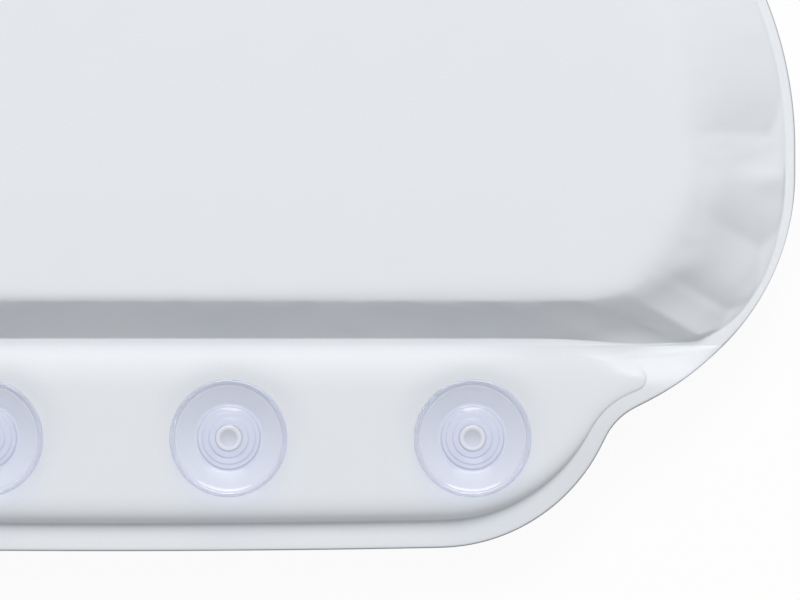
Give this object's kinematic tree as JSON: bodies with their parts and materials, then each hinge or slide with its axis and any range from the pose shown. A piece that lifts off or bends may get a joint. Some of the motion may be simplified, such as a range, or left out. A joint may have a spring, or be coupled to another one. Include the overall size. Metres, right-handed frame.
{
  "type": "bath pillow",
  "caption": "Foam bath pillow in welded white vinyl: a raised head pad with sloping sides and a folding lower flap that carries a row of clear suction cups.",
  "frame": {"origin": "under the middle of the pillow, on the surface that its front cushion rests on", "axes": "+X along the pillow's width, +Y from the flap to the head pad's far edge, +Z out of the back, where the suction cups are"},
  "size_m": [0.466, 0.274, 0.0513],
  "materials": {
    "vinyl_sheet": "satin",
    "foam": "matte",
    "clear_vinyl": "gloss",
    "washer_plastic": "satin"
  },
  "bodies": {
    "head_pad": {"pad_back_sheet": "vinyl_sheet", "pad_front_sheet": "vinyl_sheet", "pad_foam": "foam"},
    "flap": {"flap_back_sheet": "vinyl_sheet", "flap_front_sheet": "vinyl_sheet", "flap_foam": "foam"},
    "washer_1": {"cup_washer_1": "washer_plastic"},
    "washer_2": {"cup_washer_2": "washer_plastic"},
    "washer_3": {"cup_washer_3": "washer_plastic"},
    "washer_4": {"cup_washer_4": "washer_plastic"},
    "cup_1": {"suction_cup_1": "clear_vinyl"},
    "cup_2": {"suction_cup_2": "clear_vinyl"},
    "cup_3": {"suction_cup_3": "clear_vinyl"},
    "cup_4": {"suction_cup_4": "clear_vinyl"}
  },
  "joints": [
    {"name": "flap_fold", "type": "hinge", "parent": "head_pad", "child": "flap", "pos_m": [0, -0.067, 0.026], "axis": [-1, 0, 0], "range_deg": [-60, 60], "stiffness_Nm_per_rad": 0.4, "springref_deg": 2.01},
    {"name": "cup_1_turn", "type": "hinge", "parent": "flap", "child": "washer_1", "pos_m": [-0.123, -0.098, 0.034], "axis": [0, 0, 1], "continuous": true},
    {"name": "cup_2_turn", "type": "hinge", "parent": "flap", "child": "washer_2", "pos_m": [-0.041, -0.098, 0.034], "axis": [0, 0, 1], "continuous": true},
    {"name": "cup_3_turn", "type": "hinge", "parent": "flap", "child": "washer_3", "pos_m": [0.041, -0.098, 0.034], "axis": [0, 0, 1], "continuous": true},
    {"name": "cup_4_turn", "type": "hinge", "parent": "flap", "child": "washer_4", "pos_m": [0.123, -0.098, 0.034], "axis": [0, 0, 1], "continuous": true},
    {"name": "cup_1_press", "type": "slide", "parent": "washer_1", "child": "cup_1", "axis": [0, 0, -1], "range_m": [0, 0.002], "stiffness_N_per_m": 250, "springref_m": -0.0005},
    {"name": "cup_2_press", "type": "slide", "parent": "washer_2", "child": "cup_2", "axis": [0, 0, -1], "range_m": [0, 0.002], "stiffness_N_per_m": 250, "springref_m": -0.0005},
    {"name": "cup_3_press", "type": "slide", "parent": "washer_3", "child": "cup_3", "axis": [0, 0, -1], "range_m": [0, 0.002], "stiffness_N_per_m": 250, "springref_m": -0.0005},
    {"name": "cup_4_press", "type": "slide", "parent": "washer_4", "child": "cup_4", "axis": [0, 0, -1], "range_m": [0, 0.002], "stiffness_N_per_m": 250, "springref_m": -0.0005}
  ]
}
